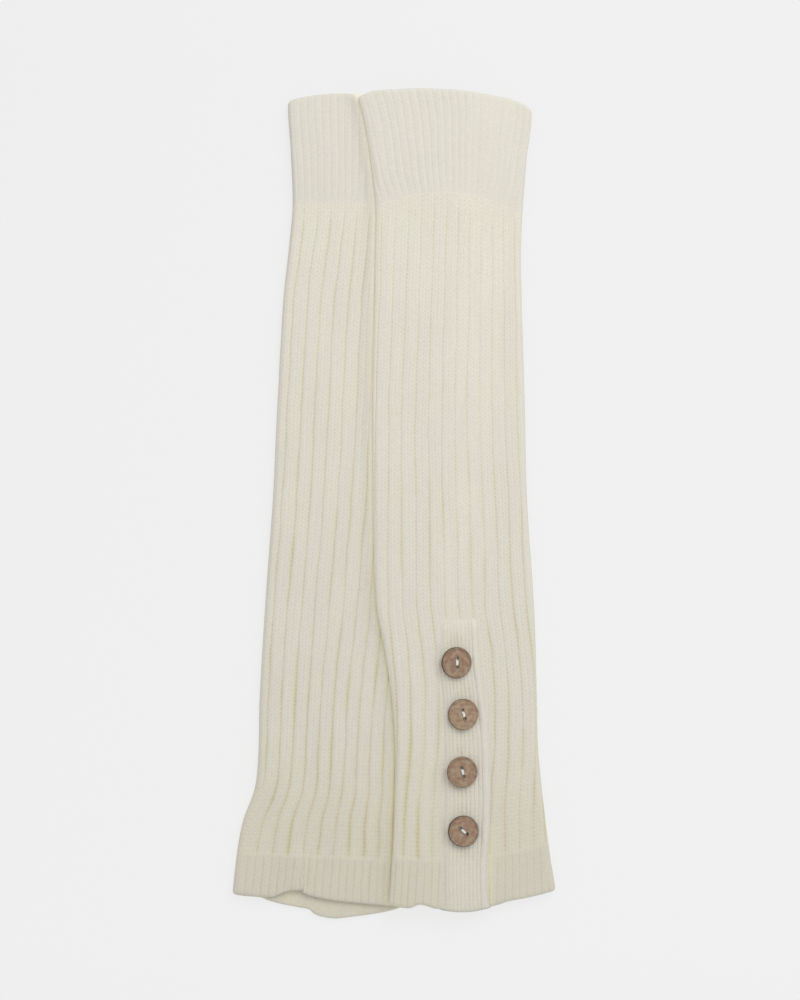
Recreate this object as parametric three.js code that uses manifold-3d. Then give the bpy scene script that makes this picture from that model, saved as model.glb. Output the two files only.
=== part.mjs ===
// A pair of knee-high leg warmers in chunky ivory rib knit, laid flat on a table.
// Each one is a knitted tube pressed flat: a top cuff, a wide-ribbed leg and a short hem.
// The right warmer laps over the left one, and closes at the ankle with a button band and
// four wooden buttons. Millimetres: X across the pair, Y up to the cuffs, Z up off the table.
// The origin is on the table, under the middle of the pair.
import * as THREE from "three";
import { mergeVertices } from "three/addons/utils/BufferGeometryUtils.js";
import Module from "manifold-3d";

const wasm = await Module();
wasm.setup();

// ---------- knit ----------
const wall = 2.6; // cloth thickness at the crest of a rib
const hollow = 0.6; // height left between the front and the back of a flat tube
const half = wall + hollow / 2; // half the height of one flat tube
const openEdge = 0.5; // the wall thins by this much at an open edge, where it rounds over
const seamGap = 0.3; // between pieces that are joined by a seam
const layGap = 0.5; // between pieces that lie on one another
const sideColumns = 4; // columns round each folded side of a tube, inside
const flatColumns = 13; // columns across the plain faces, inside and underneath

// How many ribs go round each stretch, how deep their gutters are, and where a rib has points
// across it, as shares of its width: the first is its gutter.
const legRib = { count: 24, depth: 1.1, marks: [0, 0.15, 0.5, 0.85] };
const cuffRib = { count: 48, depth: 0.6, marks: [0, 0.28, 0.72] };
const hemRib = { count: 48, depth: 0.6, marks: [0, 0.28, 0.72] };

// ---------- the two warmers ----------
// One row for each section across a warmer, from the top edge to the hem's edge.
// down: distance below the top edge; left, right: where the flat tube's sides are;
// tilt: how much higher its right side is; arch: how much higher its middle is.
const leftWarmer = {
  top: 199.2,
  sections: [
    { down: 0, left: -53.2, right: 34.0, tilt: -4.0, arch: 6.0 },
    { down: 8, left: -53.0, right: 33.4, tilt: -4.0, arch: 5.6 },
    { down: 25, left: -51.8, right: 31.0, tilt: -3.8, arch: 4.4 },
    { down: 52, left: -50.8, right: 28.0, tilt: -3.4, arch: 2.6 },
    { down: 70, left: -52.4, right: 28.0, tilt: -2.4, arch: 1.5 },
    { down: 98, left: -55.6, right: 27.0, tilt: 0, arch: 0 },
    { down: 148, left: -58.4, right: 24.5, tilt: 0, arch: 0 },
    { down: 198, left: -60.8, right: 21.5, tilt: 0, arch: 0 },
    { down: 248, left: -64.4, right: 18.0, tilt: 0, arch: 0 },
    { down: 298, left: -67.4, right: 13.5, tilt: 0, arch: 0 },
    { down: 325, left: -68.0, right: 11.5, tilt: -1.0, arch: 0 },
    { down: 343, left: -69.8, right: 10.4, tilt: -2.0, arch: 0 },
    { down: 360, left: -75.8, right: 9.4, tilt: -3.0, arch: 0 },
    { down: 377, left: -78.8, right: 8.6, tilt: -4.2, arch: 0 },
    { down: 397, left: -81.0, right: 8.0, tilt: -5.8, arch: 0 },
  ],
  cuffEnd: 52,
  hemStart: 377,
};
const rightWarmer = {
  top: 199.2,
  sections: [
    { down: 0, left: -18.0, right: 69.0, tilt: -7.0, arch: 8.3 },
    { down: 8, left: -15.6, right: 68.6, tilt: -6.5, arch: 8.4 },
    { down: 25, left: -12.4, right: 66.5, tilt: -5.0, arch: 8.6 },
    { down: 53, left: -9.0, right: 64.4, tilt: -3.0, arch: 8.6 },
    { down: 75, left: -9.3, right: 63.6, tilt: -1.2, arch: 6.0 },
    { down: 98, left: -9.5, right: 64.0, tilt: 0, arch: 3.6 },
    { down: 148, left: -10.5, right: 65.5, tilt: 0, arch: 0 },
    { down: 198, left: -10.3, right: 66.7, tilt: 0, arch: 0 },
    { down: 248, left: -9.0, right: 70.0, tilt: 0, arch: 0 },
    { down: 273, left: -4.6, right: 71.0, tilt: 0, arch: 0 },
    { down: 298, left: -1.0, right: 71.6, tilt: 0, arch: 0 },
    { down: 323, left: 0.6, right: 72.2, tilt: 1.0, arch: -1.0 },
    { down: 348, left: 0, right: 74.6, tilt: 3.0, arch: -2.6 },
    { down: 373, left: -1.0, right: 77.4, tilt: 5.8, arch: -4.6 },
    { down: 396, left: -2.6, right: 81.0, tilt: 7.0, arch: -7.6 },
  ],
  cuffEnd: 53,
  hemStart: 373,
};

// Soft swells in a warmer's front. at: middle, across and along; reach: how far it spreads each
// way; rise: how far the cloth stands up there.
leftWarmer.swells = [
  { at: [-63, -172], reach: [14, 22], rise: 1.0 },
  { at: [-22, -190], reach: [18, 18], rise: 1.2 },
  { at: [-40, -60], reach: [16, 90], rise: 0.4 },
];
rightWarmer.swells = [
  { at: [33, -196], reach: [15, 22], rise: 1.3 },
  { at: [62, -150], reach: [12, 60], rise: 0.6 },
  { at: [30, 60], reach: [20, 90], rise: 0.5 },
];

// The hem of the left warmer laps over itself in a small tuck: the cloth left of it stands on
// the cloth right of it, from its start down to the edge.
const tuck = { at: -45.4, start: -169, full: -180, rise: 2.0, width: 15 };

// How far the hem's edge runs past its section line: [share of the width from the left, drop].
const hemDrop = {
  leftFront: [
    [0, 0.6], [0.2, 1.3], [0.24, 0.6], [0.31, -2.2], [0.36, -2.9], [0.4, -1.9], [0.45, -0.6], [0.55, 0.7],
    [0.65, 1.2], [0.85, 1.6], [1, 1.0],
  ],
  leftBack: [
    [0, 1.6], [0.07, 2.0], [0.16, 2.2], [0.2, 3.4], [0.29, 5.0], [0.34, 5.5], [0.38, 6.0], [0.43, 6.6],
    [0.46, 8.6], [0.5, 9.8], [0.58, 10.3], [0.66, 9.1], [0.78, 7.0], [0.89, 4.6], [0.97, 1.8], [1, 0.6],
  ],
  rightFront: [
    [0, 0], [0.12, -0.6], [0.19, -3.4], [0.26, -2.4], [0.34, -1.2], [0.46, -0.2], [0.56, -0.5],
    [0.7, -2.0], [0.85, -0.9], [1, 0.6],
  ],
  rightBack: [
    [0, 0.3], [0.08, 0], [0.14, -2.2], [0.19, -2.8], [0.235, -2.3], [0.28, -1.4], [0.47, -1.2],
    [0.56, -0.7], [0.66, -0.9], [0.72, -1.5], [0.8, -0.9], [0.86, -0.3], [0.92, 0.2], [1, 0.8],
  ],
};
// How far a cuff's top edge dips below its own arch, and how far down that dies out.
const topDip = {
  left: [[0, 1.6], [0.03, 0.5], [0.06, 0], [0.25, 0.2], [0.34, 0.7], [0.39, 1.3], [0.5, 1.4], [1, 1.4]],
  right: [
    [0, 0.9], [0.03, 0.6], [0.08, 0], [0.13, 0.4], [0.17, 0.7], [0.22, 1.3], [0.31, 1.6], [0.4, 1.8],
    [0.5, 1.9], [0.6, 1.3], [0.68, 1.0], [0.77, 0.1], [0.82, -0.5], [0.86, -1.3], [0.92, -1.6],
    [0.96, -0.9], [1, 0.9],
  ],
  reach: 40,
};
const topRise = 0.7; // the back's top edge shows this far above the front's
// The edge's wander has died out this far above the hem's edge, in the front and in the back.
const fade = { front: 24, back: 90 };

// ---------- button band, buttons and thread ----------
// down: as in the sections; left, right: the band's sides.
const band = {
  thickness: 2.2,
  ribs: 10,
  ribDepth: 0.45,
  edgeRib: 4.4, // the smooth rib along the free side
  top: -55.4,
  sides: [
    { y: -55.4, left: 20.5, right: 42.3 },
    { y: -80, left: 21.2, right: 43.8 },
    { y: -106, left: 22.6, right: 47.0 },
    { y: -135, left: 23.4, right: 48.8 },
    { y: -165, left: 23.4, right: 48.6 },
    { y: -184, left: 23.2, right: 47.2 },
    { y: -206, left: 23.4, right: 48.2 },
  ],
};
// The ankle slit, hidden under the band, from its top end out past the hem.
const slit = { width: 1.0, top: [25.3, -60], bottom: [27.6, -216], depth: 30 };
const button = {
  radius: 7.8,
  thickness: 3.0,
  rim: 1.3,
  dish: 0.5,
  holeRadius: 1.0,
  holeSpacing: 4.4,
};
const buttons = [
  { x: 30.8, y: -79.2, turn: 0 },
  { x: 34.3, y: -105.1, turn: 18 },
  { x: 33.8, y: -133.5, turn: 14 },
  { x: 34.6, y: -162.9, turn: 50 },
];
const thread = { radius: 0.5, clear: 0.25 }; // how thick, and how far it clears the wood

// ---------- colours ----------
const ivoryKnit = new THREE.MeshStandardMaterial({ color: 0xe6e1d2, roughness: 0.95, metalness: 0 });
const fineKnit = new THREE.MeshStandardMaterial({ color: 0xe3dece, roughness: 0.95, metalness: 0 });
const bandKnit = new THREE.MeshStandardMaterial({ color: 0xe4dfd0, roughness: 0.95, metalness: 0 });
const buttonWood = new THREE.MeshStandardMaterial({ color: 0x9b7d68, roughness: 0.6, metalness: 0 });
const whiteThread = new THREE.MeshStandardMaterial({ color: 0xe9e6df, roughness: 0.8, metalness: 0 });

// ---------- curves ----------
const mix = (a, b, t) => a + (b - a) * t;

function smoothStep(low, high, x) {
  const t = Math.min(1, Math.max(0, (x - low) / (high - low)));
  return t * t * (3 - 2 * t);
}

// A smooth curve through [x, value] points, x rising.
function curve(points) {
  const slope = (i, j) => (points[j][1] - points[i][1]) / (points[j][0] - points[i][0]);
  const last = points.length - 1;
  const tangent = points.map((_, i) => slope(Math.max(0, i - 1), Math.min(last, i + 1)));
  return (x) => {
    let i = 0;
    while (i < last - 1 && x > points[i + 1][0]) i++;
    const width = points[i + 1][0] - points[i][0];
    const t = Math.min(1, Math.max(0, (x - points[i][0]) / width));
    const [t2, t3] = [t * t, t * t * t];
    return (
      (2 * t3 - 3 * t2 + 1) * points[i][1] +
      (t3 - 2 * t2 + t) * width * tangent[i] +
      (3 * t2 - 2 * t3) * points[i + 1][1] +
      (t3 - t2) * width * tangent[i + 1]
    );
  };
}

const column = (rows, x, name) => curve(rows.map((row) => [row[x], row[name]]));

for (const warmer of [leftWarmer, rightWarmer]) {
  for (const name of ["left", "right", "tilt", "arch"]) {
    warmer[name] = column(warmer.sections, "down", name);
  }
  warmer.length = warmer.sections.at(-1).down;
}
leftWarmer.frontDrop = curve(hemDrop.leftFront);
leftWarmer.backDrop = curve(hemDrop.leftBack);
rightWarmer.frontDrop = curve(hemDrop.rightFront);
rightWarmer.backDrop = curve(hemDrop.rightBack);
leftWarmer.topDip = curve(topDip.left);
rightWarmer.topDip = curve(topDip.right);
const bandLeft = curve(band.sides.map((row) => [-row.y, row.left]));
const bandRight = curve(band.sides.map((row) => [-row.y, row.right]));

// ---------- where the cloth lies ----------
// Height of what a warmer lies on: the right one comes down past the left one's right side to
// the table, between these distances from it.
const slope = { start: 1, end: 32 };
leftWarmer.ground = () => 0;
rightWarmer.ground = (x, y) => {
  const side = leftWarmer.right(leftWarmer.top - y);
  const over = 2 * half + layGap + swell(leftWarmer, x, y);
  return over * (1 - smoothStep(side + slope.start, side + slope.end, x));
};

function swell(warmer, x, y) {
  let rise = 0;
  for (const { at, reach, rise: height } of warmer.swells) {
    rise += height * Math.exp(-(((x - at[0]) / reach[0]) ** 2) - ((y - at[1]) / reach[1]) ** 2);
  }
  return rise;
}

// The tuck doubles the cloth of the left warmer's hem, so it only lifts the outside.
function tuckRise(warmer, x, y) {
  if (warmer !== leftWarmer || x >= tuck.at) return 0;
  const full = 1 - smoothStep(tuck.full, tuck.start, y);
  return tuck.rise * full * smoothStep(tuck.at - tuck.width, tuck.at - 1, x);
}

// The outline of a flat tube's cross-section: where a share of the way round lies, as its place
// across the flat stretch, the way the wall faces there, and whether it is on the front.
// It starts at the left side and goes over the front.
function aroundTube(width, share) {
  const flat = width - 2 * half;
  const turn = Math.PI * half;
  let along = (share - Math.floor(share)) * (2 * flat + 2 * turn);
  const facing = (angle, across) => ({ across, nx: -Math.cos(angle), nz: Math.sin(angle) });
  if (along < turn / 2) return facing(along / half, 0);
  along -= turn / 2;
  if (along < flat) return { across: along, nx: 0, nz: 1 };
  along -= flat;
  if (along < turn) return facing(Math.PI / 2 + along / half, flat);
  along -= turn;
  if (along < flat) return { across: flat - along, nx: 0, nz: -1 };
  return facing(-Math.PI / 2 + (along - flat) / half, 0);
}

// A point of a warmer's wall: share of the way round, distance down it, distance out from the
// middle of the flat tube.
function wallPoint(warmer, share, down, out) {
  const [left, right] = [warmer.left(down), warmer.right(down)];
  const { across, nx, nz } = aroundTube(right - left, share);
  const x = left + half + across + nx * out;
  const u = Math.min(1, Math.max(0, (x - left) / (right - left)));
  const front = (nz + 1) / 2;
  const near = (reach) => smoothStep(warmer.length - reach, warmer.length, down);
  const frontDrop = near(fade.front) * warmer.frontDrop(u);
  const drop = mix(near(fade.back) * warmer.backDrop(u), frontDrop, front);
  const rise = warmer === rightWarmer ? topRise * (1 - front) * (1 - smoothStep(0, 30, down)) : 0;
  const shape = warmer.tilt(down) * (u - 0.5) + warmer.arch(down) * (1 - (2 * u - 1) ** 2);
  const dip = warmer.topDip(u) * (1 - smoothStep(0, topDip.reach, down));
  const y = warmer.top - down + shape - dip - drop + rise;
  const lift = swell(warmer, x, y) + (out > hollow / 2 ? tuckRise(warmer, x, y) : 0);
  return new THREE.Vector3(x, y, half + nz * out + warmer.ground(x, y) + Math.max(0, nz) * lift);
}

// The flat underside, as shares of the way round, leaving the rounded sides to the ribs.
const underSpan = { from: 0.535, to: 0.965 };
const isUnder = (share) => share > underSpan.from && share < underSpan.to;

// Shares of the way round at which a ribbed wall's outside has points: the gutters and crests
// of the ribs over the front and sides, and a few plain columns underneath.
function ribColumns(rib) {
  const columns = [];
  for (let i = 0; i < rib.count; i++) {
    for (const mark of rib.marks) {
      const share = (i + mark) / rib.count;
      if (!isUnder(share)) columns.push({ share, gutter: mark === 0 });
    }
  }
  for (let i = 0; i <= flatColumns; i++) {
    const share = mix(underSpan.from, underSpan.to, i / flatColumns);
    columns.push({ share, gutter: false });
  }
  return columns.sort((a, b) => a.share - b.share);
}

function plainColumns() {
  const side = half * Math.PI;
  const flat = 70; // a middling width, to place the columns by
  const shares = [];
  for (const start of [0, 0.5]) {
    for (let i = 0; i < flatColumns; i++) {
      shares.push(start + (side / 2 + (flat * i) / (flatColumns - 1)) / (2 * (flat + side)));
    }
    for (let i = 1; i < sideColumns; i++) {
      const turned = side / 2 + flat + (side * i) / sideColumns;
      shares.push((start + turned / (2 * (flat + side))) % 1);
    }
  }
  return [...new Set(shares)].sort((a, b) => a - b).map((share) => ({ share, gutter: false }));
}

// ---------- solids ----------
function solidFrom(points, faces) {
  const geometry = new THREE.BufferGeometry();
  const flat = points.flatMap((p) => [p.x, p.y, p.z]);
  geometry.setAttribute("position", new THREE.Float32BufferAttribute(flat, 3));
  geometry.setIndex(faces.flat());
  return geometry;
}

// Joins two closed loops of points that lie side by side, each with its own number of points.
function bridge(faces, first, second, flip) {
  const tri = (a, b, c) => faces.push(flip ? [a, c, b] : [a, b, c]);
  let [i, j] = [0, 0];
  const at = (loop, k) => loop.shares[k % loop.shares.length] + Math.floor(k / loop.shares.length);
  const id = (loop, k) => loop.start + (k % loop.shares.length);
  while (i < first.shares.length || j < second.shares.length) {
    const stepFirst = j >= second.shares.length ||
      (i < first.shares.length && at(first, i + 1) <= at(second, j + 1));
    if (stepFirst) {
      tri(id(first, i), id(first, i + 1), id(second, j));
      i++;
    } else {
      tri(id(first, i), id(second, j + 1), id(second, j));
      j++;
    }
  }
}

// A knitted tube from one distance down the warmer to another, as a wall with a plain inside.
function knitTube(warmer, rib, from, to, rows) {
  const points = [];
  const faces = [];
  const downs = Array.from({ length: rows + 1 }, (_, i) => mix(from, to, i / rows));
  const loop = (columns, down, out) => {
    const start = points.length;
    columns.forEach((c) => points.push(wallPoint(warmer, c.share, down, out(c, down))));
    return { start, shares: columns.map((c) => c.share) };
  };
  const outside = (c, down) => {
    const open = (down === 0 || down === warmer.length) && !isUnder(c.share);
    return half - (open ? openEdge : 0) - (c.gutter ? rib.depth : 0);
  };
  const outer = downs.map((down) => loop(ribColumns(rib), down, outside));
  const inner = downs.map((down) => loop(plainColumns(), down, () => hollow / 2));
  for (let i = 0; i < rows; i++) {
    bridge(faces, outer[i], outer[i + 1], true);
    bridge(faces, inner[i], inner[i + 1], false);
  }
  bridge(faces, outer[0], inner[0], false);
  bridge(faces, outer[rows], inner[rows], true);
  return solidFrom(points, faces);
}

function manifoldOf(geometry) {
  const bare = geometry.clone();
  bare.deleteAttribute("normal");
  bare.deleteAttribute("uv");
  const merged = mergeVertices(bare, 1e-4);
  return new wasm.Manifold(new wasm.Mesh({
    numProp: 3,
    vertProperties: new Float32Array(merged.attributes.position.array),
    triVerts: new Uint32Array(merged.index.array),
  }));
}

function geometryOf(solid) {
  const mesh = solid.getMesh();
  const geometry = new THREE.BufferGeometry();
  geometry.setAttribute("position", new THREE.Float32BufferAttribute(mesh.vertProperties, 3));
  geometry.setIndex(new THREE.BufferAttribute(mesh.triVerts, 1));
  return geometry;
}

// Cuts the ankle slit through the right warmer's front, but not its back.
function slitBlade() {
  const [top, bottom] = [new THREE.Vector2(...slit.top), new THREE.Vector2(...slit.bottom)];
  const blade = new THREE.BoxGeometry(slit.width, top.distanceTo(bottom), slit.depth);
  blade.rotateZ(Math.atan2(bottom.x - top.x, top.y - bottom.y));
  const middle = top.lerp(bottom, 0.5);
  return blade.translate(middle.x, middle.y, half + slit.depth / 2);
}

function withSlit(geometry) {
  return geometryOf(manifoldOf(geometry).subtract(manifoldOf(slitBlade())));
}

// Height of the right warmer's front at a place, at the crests of its ribs.
function frontHeight(x, y) {
  return 2 * half + rightWarmer.ground(x, y) + swell(rightWarmer, x, y);
}

// The button band lies on the right warmer's front. Its sewn side sinks to a thin edge, and its
// free side is a thick smooth rib. It ends level with the hem.
function buttonBand() {
  const rows = 12;
  const columns = [{ across: 0, recess: 1.5 }];
  const ribbed = 1 - band.edgeRib / 25;
  for (let i = 0; i < band.ribs; i++) {
    columns.push({ across: (ribbed * (i + 0.5)) / band.ribs, recess: i === 0 ? 0.7 : 0 });
    columns.push({ across: (ribbed * (i + 1)) / band.ribs, recess: band.ribDepth });
  }
  columns.push({ across: mix(ribbed, 1, 0.35), recess: 0 });
  columns.push({ across: mix(ribbed, 1, 0.85), recess: 0.1 });
  columns.push({ across: 1, recess: 0.9 });
  const under = columns.filter((_, i) => i % 3 === 0 || i === columns.length - 1);
  const points = [];
  const faces = [];
  const rowAt = (i, list, top) => list.map(({ across, recess }) => {
    const left = bandLeft(-band.top);
    const right = bandRight(-band.top);
    const guess = mix(band.top, hemEdge(mix(left, right, across)), i / rows);
    const x = mix(bandLeft(-guess), bandRight(-guess), across);
    const y = mix(band.top, hemEdge(x), i / rows);
    const ends = i === 0 || i === rows ? 0.5 : 0;
    const lift = top ? band.thickness - Math.min(recess + ends, band.thickness - 0.6) : 0;
    points.push(new THREE.Vector3(x, y, frontHeight(x, y) + layGap + lift));
    return { id: points.length - 1, across };
  });
  const tops = Array.from({ length: rows + 1 }, (_, i) => rowAt(i, columns, true));
  const unders = Array.from({ length: rows + 1 }, (_, i) => rowAt(i, under, false));
  const strip = (a, b, flip) => {
    let [i, j] = [0, 0];
    const tri = (p, q, r) => faces.push(flip ? [p.id, r.id, q.id] : [p.id, q.id, r.id]);
    while (i < a.length - 1 || j < b.length - 1) {
      const stepA = j === b.length - 1 || (i < a.length - 1 && a[i + 1].across <= b[j + 1].across);
      if (stepA) tri(a[i], a[++i], b[j]);
      else tri(a[i], b[j + 1], b[j++]);
    }
  };
  const side = (rowsOf, pick) => rowsOf.map((row) => row.at(pick));
  for (let i = 0; i < rows; i++) {
    strip(tops[i], tops[i + 1], true);
    strip(unders[i], unders[i + 1], false);
    for (const [pick, flip] of [[0, true], [-1, false]]) {
      const [a, b] = [side(tops, pick), side(unders, pick)];
      const quad = [a[i].id, a[i + 1].id, b[i + 1].id, b[i].id];
      const order = flip ? [0, 2, 1, 0, 3, 2] : [0, 1, 2, 0, 2, 3];
      faces.push(order.map((k) => quad[k]));
    }
  }
  strip(tops[0], unders[0], false);
  strip(tops[rows], unders[rows], true);
  return solidFrom(points, faces);
}

// Where the right hem's front edge is, at a place across.
function hemEdge(x) {
  const { left, right, length, top } = rightWarmer;
  const u = (x - left(length)) / (right(length) - left(length));
  const shape = rightWarmer.tilt(length) * (u - 0.5) + rightWarmer.arch(length) * (1 - (2 * u - 1) ** 2);
  return top - length + shape - rightWarmer.frontDrop(u);
}

function buttonDisc() {
  const { radius, thickness, rim, dish } = button;
  const outline = [
    [0, 0],
    [radius - 1.1, 0],
    [radius - 0.2, 0.8],
    [radius, thickness * 0.55],
    [radius - 0.35, thickness - 0.15],
    [radius - 0.9, thickness],
    [radius - rim, thickness - 0.1],
    [radius - rim - 0.5, thickness - dish],
    [0, thickness - dish],
  ];
  const disc = new THREE.LatheGeometry(outline.map(([r, z]) => new THREE.Vector2(r, z)), 24);
  disc.rotateX(Math.PI / 2);
  let solid = manifoldOf(disc);
  for (const side of [-1, 1]) {
    const drill = new THREE.CylinderGeometry(button.holeRadius, button.holeRadius, 20, 10);
    drill.rotateX(Math.PI / 2).translate(0, (side * button.holeSpacing) / 2, 0);
    solid = solid.subtract(manifoldOf(drill));
  }
  return geometryOf(solid);
}

// A staple of thread: up through one hole, over the bridge and down through the other.
function threadStaple() {
  const deck = button.thickness - button.dish + thread.radius + thread.clear;
  const reach = button.holeSpacing / 2;
  const foot = 0.1;
  const path = new THREE.CatmullRomCurve3([
    new THREE.Vector3(0, -reach, foot),
    new THREE.Vector3(0, -reach, deck - 0.6),
    new THREE.Vector3(0, -reach + 0.8, deck + 0.2),
    new THREE.Vector3(0, 0, deck + 0.3),
    new THREE.Vector3(0, reach - 0.8, deck + 0.2),
    new THREE.Vector3(0, reach, deck - 0.6),
    new THREE.Vector3(0, reach, foot),
  ]);
  const section = new THREE.Shape();
  section.absarc(0, 0, thread.radius, 0, 2 * Math.PI);
  return new THREE.ExtrudeGeometry(section, { steps: 12, curveSegments: 4, extrudePath: path });
}

// ---------- the pair ----------
const pair = new THREE.Group();

function add(name, geometry, material) {
  const mesh = new THREE.Mesh(geometry, material);
  mesh.name = name;
  pair.add(mesh);
  return mesh;
}

// Lays a mesh on the button band, turned about its own axis.
function layOnBand(mesh, { x, y, turn }) {
  const reach = button.radius;
  const [west, east] = [-reach, reach].map((d) => frontHeight(x + d, y));
  const [south, north] = [-reach, reach].map((d) => frontHeight(x, y + d));
  const under = Math.max((west + east) / 2, (south + north) / 2, frontHeight(x, y));
  const up = new THREE.Vector3(0, 0, 1);
  const facing = new THREE.Vector3(west - east, south - north, 2 * reach).normalize();
  const turned = new THREE.Quaternion().setFromAxisAngle(up, THREE.MathUtils.degToRad(turn));
  mesh.quaternion.setFromUnitVectors(up, facing).multiply(turned);
  mesh.position.set(x, y, under + layGap + band.thickness + layGap);
}

for (const [side, warmer] of [["left", leftWarmer], ["right", rightWarmer]]) {
  const { cuffEnd, hemStart, length } = warmer;
  const slitIf = side === "right" ? withSlit : (geometry) => geometry;
  add(`${side}_cuff`, knitTube(warmer, cuffRib, 0, cuffEnd, 4), fineKnit);
  add(`${side}_leg`, slitIf(knitTube(warmer, legRib, cuffEnd + seamGap, hemStart, 16)), ivoryKnit);
  add(`${side}_hem`, slitIf(knitTube(warmer, hemRib, hemStart + seamGap, length, 3)), fineKnit);
}
add("button_band", buttonBand(), bandKnit);

buttons.forEach((place, i) => {
  layOnBand(add(`button_${i + 1}`, buttonDisc(), buttonWood), place);
  layOnBand(add(`thread_${i + 1}`, threadStaple(), whiteThread), place);
});

export default pair;
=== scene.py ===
import math

import bmesh
import bpy
from mathutils import Matrix, Vector, noise


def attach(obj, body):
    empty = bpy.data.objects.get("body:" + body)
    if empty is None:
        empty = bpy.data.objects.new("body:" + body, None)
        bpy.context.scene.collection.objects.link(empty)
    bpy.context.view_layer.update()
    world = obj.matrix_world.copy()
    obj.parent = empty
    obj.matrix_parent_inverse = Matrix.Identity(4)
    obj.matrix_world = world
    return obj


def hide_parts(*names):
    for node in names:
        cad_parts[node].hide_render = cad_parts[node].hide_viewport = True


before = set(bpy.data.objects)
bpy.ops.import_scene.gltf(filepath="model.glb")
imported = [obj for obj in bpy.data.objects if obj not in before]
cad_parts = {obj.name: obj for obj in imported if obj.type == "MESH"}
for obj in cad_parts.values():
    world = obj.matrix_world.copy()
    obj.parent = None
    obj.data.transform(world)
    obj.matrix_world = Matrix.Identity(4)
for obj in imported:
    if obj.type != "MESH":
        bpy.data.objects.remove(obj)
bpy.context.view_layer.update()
print("frame loaded")

# sizes are in millimetres until a piece is finished: X across the pair, Y up to the cuffs
mm = 0.001

cloth = {
    "wall": 2.6,        # thickness at the crest of a rib
    "hollow": 0.6,      # height left inside a flat tube
    "course": 2.0,      # height of one row of stitches
    "rim": 1.2,         # how far an open edge rounds over
    "seamRim": 0.15,    # the same where two pieces are joined
    "lay": 0.5,         # between pieces that lie on one another
    "rimSteps": 6,      # points round an open edge
    "insideStep": 16,   # between the inside's rows
}
half = cloth["wall"] + cloth["hollow"] / 2   # half the height of one flat tube

leftWarmer = {
    "name": "left",
    "top": 199.2,
    # sections from the top edge to the hem's edge, by their distance below the top
    "down": [0, 8, 25, 52, 70, 98, 148, 198, 248, 298, 325, 343, 360, 377, 397],
    "left": [-53.2, -53.0, -51.8, -50.8, -52.4, -55.6, -58.4, -60.8, -64.4, -67.4, -68.0, -69.8,
             -75.8, -78.8, -81.0],
    "right": [34.0, 33.4, 31.0, 28.0, 28.0, 27.0, 24.5, 21.5, 18.0, 13.5, 11.5, 10.4, 9.4, 8.6, 8.0],
    "tilt": [-4.0, -4.0, -3.8, -3.4, -2.4, 0, 0, 0, 0, 0, -1.0, -2.0, -3.0, -4.2, -5.8],
    "arch": [6.0, 5.6, 4.4, 2.6, 1.5, 0, 0, 0, 0, 0, 0, 0, 0, 0, 0],
    # the first front gutter and the twelfth, by their way round from the left side
    "ribDown": [52, 148, 248, 333, 368, 397],
    "ribFirst": [1.1, -0.2, -1.0, -0.8, -3.3, -4.0],
    "ribLast": [73.7, 75.6, 75.2, 70.8, 79.2, 81.0],
    "ribBow": [0, 0, 0, 0, 0, 0],
    "gutterTone": (0.24, 0.5),    # how strongly the gutters' painted shade shows, at the cuff and at the ankle
    "ankleTone": 0,               # how much stronger they get at the ankle, left and right of the band
    "gutterDepth": 1.0,           # how deep they are beside the ones that the rib gives
    "lostRib": (330, 350),        # where its first front gutter flattens out
    "cuffFan": (0, 0.02),         # how much wider the cuff's front ribs are, at its seam and its top
    "cuffEnd": 52,
    "hemStart": 377,
    # soft swells: middle across and along, reach across and along, rise
    "swells": [(-60, -138, 20, 28, 1.1), (-22, -146, 24, 28, 1.2), (-40, -60, 16, 90, 0.4)],
    # how far the hem's edge runs past its section line, by its share of the width from the left
    "frontDrop": [(0, 0.6), (0.2, 1.3), (0.24, 0.6), (0.31, -2.2), (0.36, -2.9), (0.4, -1.9), (0.45, -0.6),
                  (0.55, 0.7), (0.65, 1.2), (0.85, 1.6), (1, 1.0)],
    "backDrop": [(0, 1.6), (0.07, 2.0), (0.16, 2.2), (0.2, 3.4), (0.29, 5.0), (0.34, 5.5), (0.38, 6.0),
                 (0.43, 6.6), (0.46, 8.6), (0.5, 9.8), (0.58, 10.3), (0.66, 9.1), (0.78, 7.0),
                 (0.89, 4.6), (0.97, 1.8), (1, 0.6)],
    # how far the cuff's top edge dips below its own arch
    "topDip": [(0, 1.0), (0.03, 0.3), (0.06, 0), (0.25, 0.2), (0.34, 0.7), (0.39, 1.3), (0.5, 1.4),
               (1, 1.4)],
    "topRise": 0,                 # how far the cuff's back edge stands above its front one
    "lumpSeed": 3.0,
    "wanderSeed": 40,
}

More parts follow.
